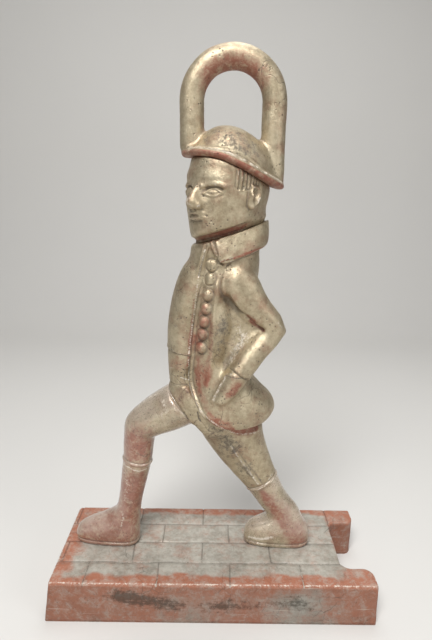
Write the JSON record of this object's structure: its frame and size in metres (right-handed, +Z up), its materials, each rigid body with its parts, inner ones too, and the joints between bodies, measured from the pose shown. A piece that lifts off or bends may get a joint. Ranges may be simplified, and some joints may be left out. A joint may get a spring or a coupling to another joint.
{
  "type": "carved figure with lifting loop",
  "caption": "Carved striding figure in coat, boots and brimmed cap on a paved base with a notched end, lifted by a round loop on its cap.",
  "frame": {"origin": "middle of the base's underside", "axes": "+Z up, the figure strides towards -X, its near side faces -Y"},
  "size_m": [0.305, 0.116, 0.496],
  "materials": {
    "worn_gilding": "worn bronze-gold leaf over red bole and gesso on carved wood, satin",
    "red_bole": "carved wood with its gold rubbed down to the red bole, satin",
    "paving": "carved wood paving, grimed grey-olive over red bole, dull",
    "dowel_birch": "plain turned birch",
    "screw_steel": "plain steel"
  },
  "bodies": {
    "root": {"paved_base": "paving", "base_screws": "screw_steel", "front_boot": "red_bole", "rear_boot": "red_bole", "boot_dowels": "dowel_birch", "front_leg": "red_bole", "rear_leg": "worn_gilding", "leg_dowels": "dowel_birch", "hips": "worn_gilding", "coat": "worn_gilding", "coat_buttons": "worn_gilding", "right_arm": "worn_gilding", "right_hand": "worn_gilding", "left_arm": "worn_gilding", "left_hand": "worn_gilding", "shoulder_dowels": "dowel_birch", "wrist_dowels": "dowel_birch", "collar": "worn_gilding", "head": "worn_gilding", "neck_dowel": "dowel_birch", "cap": "worn_gilding", "cap_dowel": "dowel_birch", "handle_loop": "worn_gilding"}
  },
  "joints": []
}
